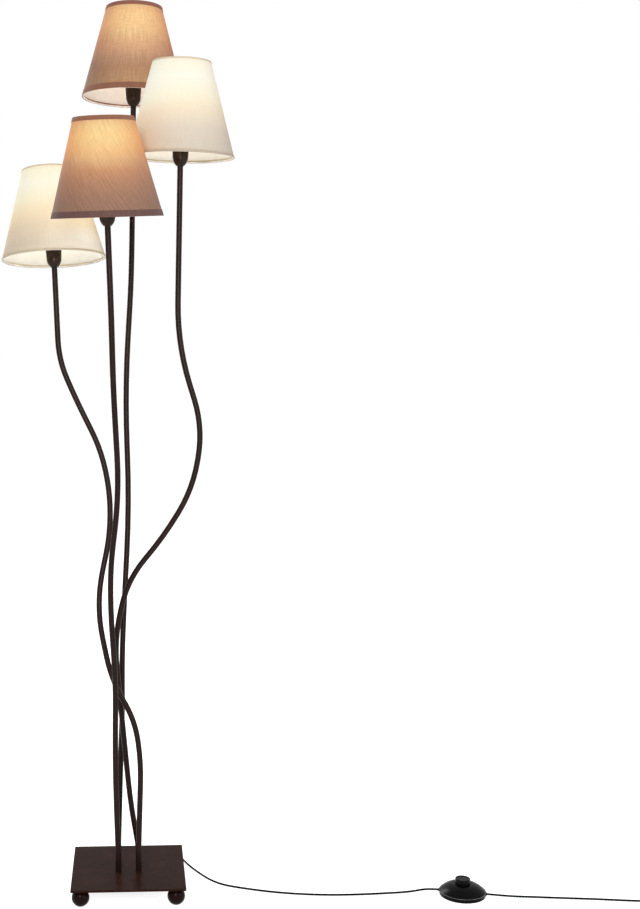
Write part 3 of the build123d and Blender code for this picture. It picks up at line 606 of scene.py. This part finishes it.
def coil_points(start, heading):
    """Control points of the coil: in on the floor, up a layer, and out again on top.

    Each point stands where two tangents of the turn meet, so the spline keeps the turn's radius.
    """
    steps = 8
    part = math.pi / steps
    points = []
    point = start + heading * cord_diameter
    halves = 2 * coil_turns
    radii = [coil_radius - half * coil_pitch / 2 for half in range(halves)]
    inner = coil_radius - halves * coil_pitch / 2
    level = start.z
    for order, radius in enumerate(radii + [inner] + radii[:0:-1] + [coil_radius]):
        across = Vector((heading.y, -heading.x, 0.0))
        centre = point + across * radius
        last = order == 2 * halves
        for step in range(steps // 2 if last else steps):
            angle = (step + 0.5) * part
            share = (step + 0.5) / steps
            if order == halves:
                level = start.z + coil_pitch * share * share * (3 - 2 * share)
            spoke = heading * math.sin(angle) - across * math.cos(angle)
            spot = centre + spoke * (radius / math.cos(part / 2))
            points.append(Vector((spot.x, spot.y, level)))
        if last:
            point = centre + heading * radius
            heading = across
        else:
            point = centre + across * radius
            heading = -heading
    return points, Vector((point.x, point.y, level)), heading


switch_centre = from_base((*switch_place, switch_cord_height))
cord_line = Vector((math.cos(switch_turn), math.sin(switch_turn), 0.0))
entry = switch_centre - cord_line * switch_reach
outlet = switch_centre + cord_line * switch_reach
supply_route = [from_base(place) for place in supply_places]
supply_route += [entry - cord_line * cord_approach, entry]
cord_curve("supply_lead", supply_route,
           ["supply_cord"])

way_in = Vector((math.cos(coil_heading), math.sin(coil_heading), 0.0))
coil_start = from_base(coil_start_place)
turns, coil_end, way_out = coil_points(coil_start, way_in)
sideways = Vector((-way_out.y, way_out.x, 0.0)) * tail_side
rise = Vector((0.0, 0.0, plug_height - coil_end.z))
tail_start = coil_end + way_out * cord_diameter
mains_route = [outlet, outlet + cord_line * cord_approach]
mains_route += [from_base(place) for place in mains_places]
mains_route += [coil_start - way_in * cord_approach, coil_start]
mains_route += turns
mains_route += [
    tail_start,
    tail_start + way_out * tail_step,
    tail_start + way_out * (2 * tail_step + tail_slant) + sideways + rise,
    tail_start + way_out * (3 * tail_step + tail_slant) + sideways + rise,
]
cord_curve("mains_lead", mains_route,
           ["plug_cord", "cord_coil", "cord_tail"])

# ---------------------------------------------------------------- studio


def camera_ray_white(tree):
    """One for rays from the camera, reflections and clear views through; zero for all others."""
    rays = tree.nodes.new("ShaderNodeLightPath")
    seen = tree.nodes.new("ShaderNodeMath")
    seen.operation = "MAXIMUM"
    tree.links.new(rays.outputs["Is Camera Ray"], seen.inputs[0])
    tree.links.new(rays.outputs["Is Glossy Ray"], seen.inputs[1])
    either = tree.nodes.new("ShaderNodeMath")
    either.operation = "MAXIMUM"
    tree.links.new(seen.outputs[0], either.inputs[0])
    tree.links.new(rays.outputs["Is Transmission Ray"], either.inputs[1])
    return either.outputs[0]


def studio_world(fill):
    """White world for the camera and reflections, and a plain fill for everything else."""
    world = bpy.data.worlds.new("studio")
    bpy.context.scene.world = world
    world.use_nodes = True
    tree = world.node_tree
    background = tree.nodes["Background"]
    background.inputs["Color"].default_value = (1.0, 1.0, 1.0, 1.0)
    white = camera_ray_white(tree)
    strength = tree.nodes.new("ShaderNodeMapRange")
    tree.links.new(white, strength.inputs["Value"])
    strength.inputs["To Min"].default_value = fill
    strength.inputs["To Max"].default_value = 1.0
    tree.links.new(strength.outputs["Result"], background.inputs["Strength"])


def studio_floor(size, drop, own_glow):
    """Pale floor that looks white and still takes the lamp's soft shadow."""
    mesh = bpy.data.meshes.new("studio_floor")
    corners = [(-size, -size), (size, -size), (size, size), (-size, size)]
    mesh.from_pydata([(x, y, -drop) for x, y in corners], [], [(0, 1, 2, 3)])
    material = bpy.data.materials.new("studio_floor")
    material.use_nodes = True
    tree = material.node_tree
    shader = tree.nodes["Principled BSDF"]
    shader.inputs["Base Color"].default_value = (0.9, 0.9, 0.9, 1.0)
    shader.inputs["Roughness"].default_value = 0.95
    shader.inputs["Specular IOR Level"].default_value = 0.0
    shader.inputs["Emission Color"].default_value = (1.0, 1.0, 1.0, 1.0)
    white = camera_ray_white(tree)
    strength = tree.nodes.new("ShaderNodeMath")
    strength.operation = "MULTIPLY"
    strength.inputs[1].default_value = own_glow
    tree.links.new(white, strength.inputs[0])
    tree.links.new(strength.outputs[0], shader.inputs["Emission Strength"])
    mesh.materials.append(material)
    floor = bpy.data.objects.new("studio_floor", mesh)
    bpy.context.scene.collection.objects.link(floor)


def soft_box(name, place, target, size, power):
    """Area lamp aimed at a point."""
    lamp = bpy.data.lights.new(name, "AREA")
    lamp.shape = "RECTANGLE"
    lamp.size, lamp.size_y = size
    lamp.energy = power
    box = bpy.data.objects.new(name, lamp)
    box.location = place
    aim = Vector(target) - Vector(place)
    box.rotation_euler = aim.to_track_quat("-Z", "Y").to_euler()
    box.visible_camera = False
    bpy.context.scene.collection.objects.link(box)
    return box


def highlights_only(box, colour, pieces):
    """Make a lamp give coloured highlights on some pieces and no other light."""
    box.data.color = colour
    box.visible_diffuse = False
    lit = bpy.data.collections.new(box.name + "_pieces")
    for piece in pieces:
        lit.objects.link(piece)
    box.light_linking.receiver_collection = lit


studio_world(fill=0.30)
studio_floor(size=30.0, drop=0.0002, own_glow=0.83)
soft_box("key", (-0.5, -3.5, 2.3), (0.0, 0.0, 0.9), (1.5, 1.5), 84.0)
soft_box("side", (2.6, -1.6, 1.6), (0.0, 0.0, 0.8), (0.9, 2.0), 26.0)
soft_box("rim", (-1.6, 2.8, 2.2), (0.0, 0.0, 0.9), (1.2, 2.0), 60.0)
sheen = soft_box("sheen", (0.1, -3.4, 1.05), (0.1, 0.0, 1.05), (1.0, 1.3), 95.0)
highlights_only(sheen, (1.0, 0.80, 0.72),
                [cad[kind + light] for kind in ("rod_", "holder_cup_") for light in lights])

# ---------------------------------------------------------------- camera at the photograph's view

camera_place = (0.009, -2.308, 0.983)
camera_pan = math.radians(2.61)
camera_pitch = math.radians(5.08)
camera_lens = 52.44
film_width = 36.0
picture_height = 909
principal_offset = 128
furthest_seen = 60.0

camera_data = bpy.data.cameras.new("camera")
camera_data.lens = camera_lens
camera_data.sensor_width = film_width
camera_data.shift_x = principal_offset / picture_height
camera_data.clip_end = furthest_seen
camera = bpy.data.objects.new("camera", camera_data)
camera.location = from_base(camera_place)
camera.rotation_euler = (math.radians(90) - camera_pitch, 0.0, -camera_pan)
bpy.context.scene.collection.objects.link(camera)
bpy.context.scene.camera = camera
bpy.context.scene.view_settings.view_transform = "Standard"
